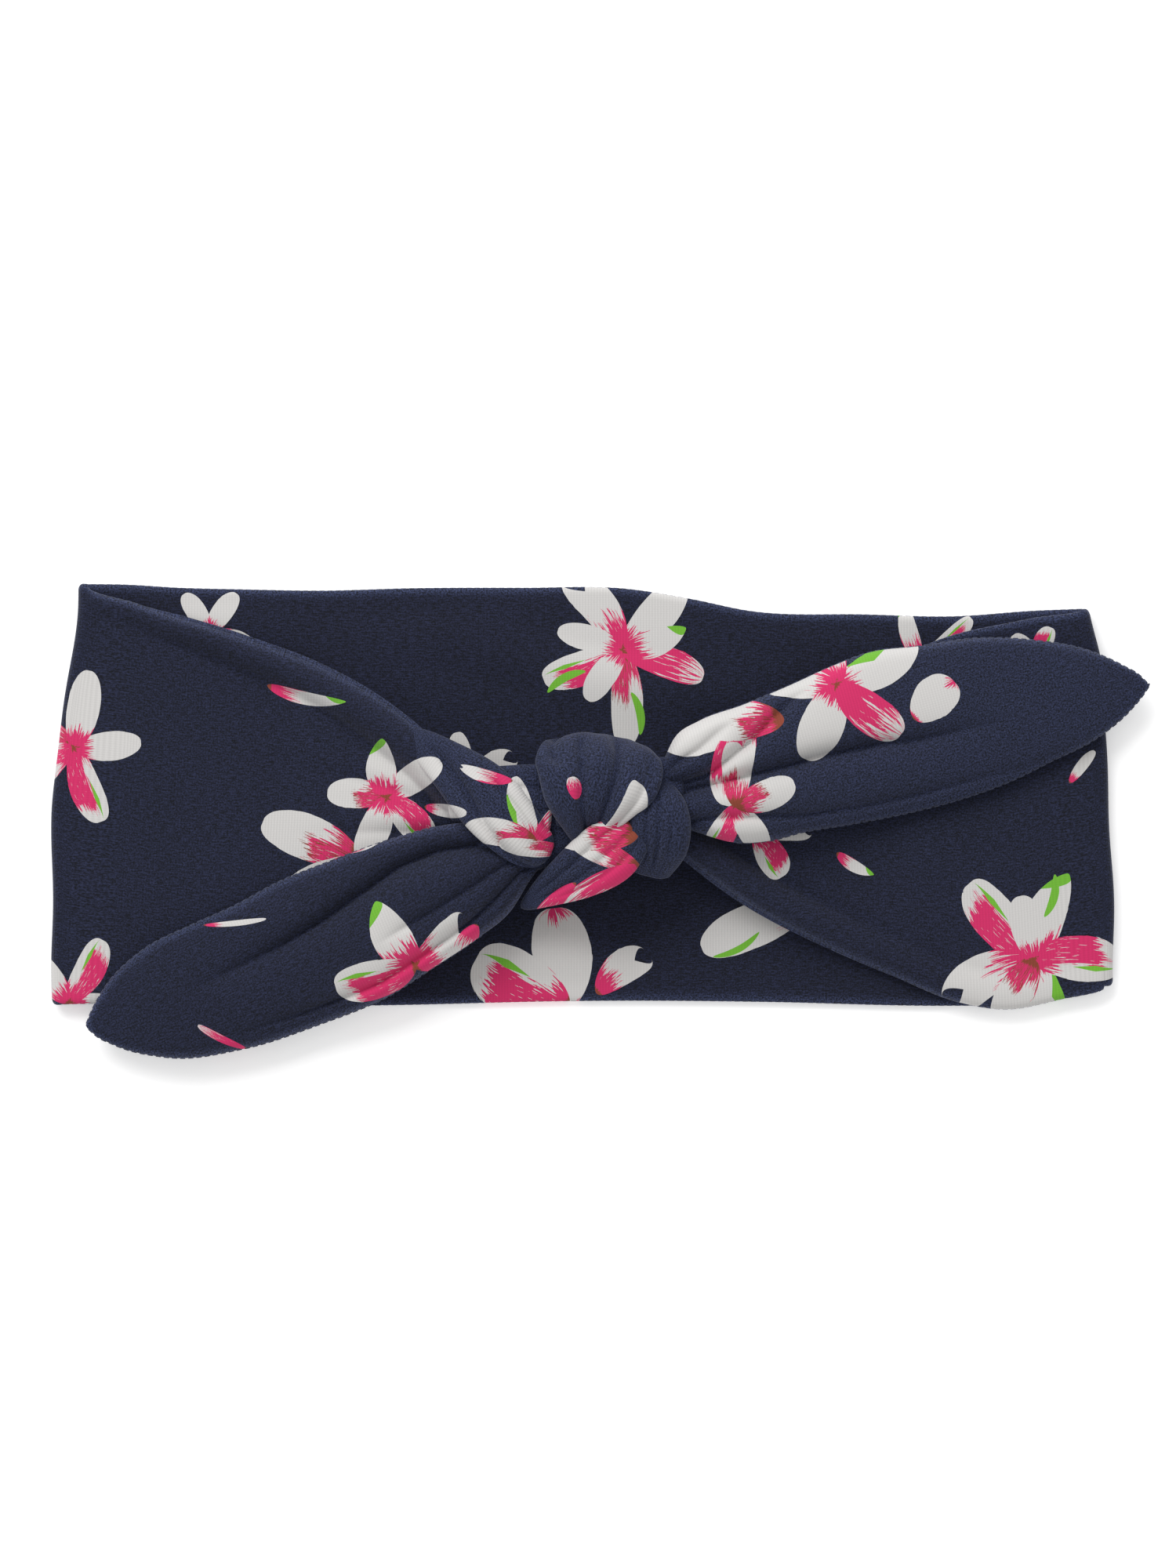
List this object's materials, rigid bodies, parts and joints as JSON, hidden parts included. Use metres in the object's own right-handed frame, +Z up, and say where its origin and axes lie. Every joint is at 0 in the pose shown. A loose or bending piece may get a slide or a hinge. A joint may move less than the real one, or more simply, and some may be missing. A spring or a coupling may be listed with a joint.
{
  "type": "knotted headband",
  "caption": "Wide tied headband: a doubled strip of floral jersey, knotted at the front, with two pointed tails; shown lying flat with the knot up.",
  "frame": {"origin": "the middle of the underside of the band's back, on the surface that it lies on", "axes": "+X runs along the band to the fold on the side of the raised tail, +Y across it and +Z up, out of the surface, to the knot"},
  "size_m": [0.2342, 0.1043, 0.0239],
  "materials": {
    "outer_jersey": "matte knitted cotton with a floral print",
    "lining_jersey": "matte knitted cotton with a floral print",
    "knot_jersey": "matte knitted cotton with a floral print",
    "seam_thread": "polyester sewing thread and turned cloth edge"
  },
  "bodies": {
    "back_band": {"back_outer": "outer_jersey", "back_lining": "lining_jersey", "back_top_seam": "seam_thread", "back_bottom_seam": "seam_thread", "left_fold_outer": "outer_jersey", "left_fold_lining": "lining_jersey", "left_fold_top_seam": "seam_thread", "left_fold_bottom_seam": "seam_thread", "right_fold_outer": "outer_jersey", "right_fold_lining": "lining_jersey", "right_fold_top_seam": "seam_thread", "right_fold_bottom_seam": "seam_thread"},
    "front": {"left_strip_outer": "outer_jersey", "left_strip_lining": "lining_jersey", "left_strip_top_seam": "seam_thread", "left_strip_bottom_seam": "seam_thread", "right_strip_outer": "outer_jersey", "right_strip_lining": "lining_jersey", "right_strip_top_seam": "seam_thread", "right_strip_bottom_seam": "seam_thread", "knot_core": "knot_jersey", "knot_right_exit": "knot_jersey", "knot_left_entry": "knot_jersey", "knot_wrap": "knot_jersey", "knot_left_turn": "knot_jersey", "knot_lower_wrap": "knot_jersey", "knot_tuck": "knot_jersey"},
    "left_tail": {"left_tail_face": "outer_jersey", "left_tail_back": "lining_jersey", "left_tail_seam": "seam_thread"},
    "right_tail": {"right_tail_face": "outer_jersey", "right_tail_back": "lining_jersey", "right_tail_seam": "seam_thread"}
  },
  "joints": [
    {"name": "loop_opening", "type": "slide", "parent": "back_band", "child": "front", "axis": [0, 0, 1], "range_m": [0, 0.05]},
    {"name": "left_tail_lift", "type": "hinge", "parent": "front", "child": "left_tail", "pos_m": [-0.0275, -0.0157, 0.012], "axis": [-0.3987, 0.9171, 0], "range_deg": [0, 90]},
    {"name": "right_tail_lift", "type": "hinge", "parent": "front", "child": "right_tail", "pos_m": [0.026, -0.001, 0.0135], "axis": [0.2639, -0.9646, 0], "range_deg": [0, 90]}
  ]
}
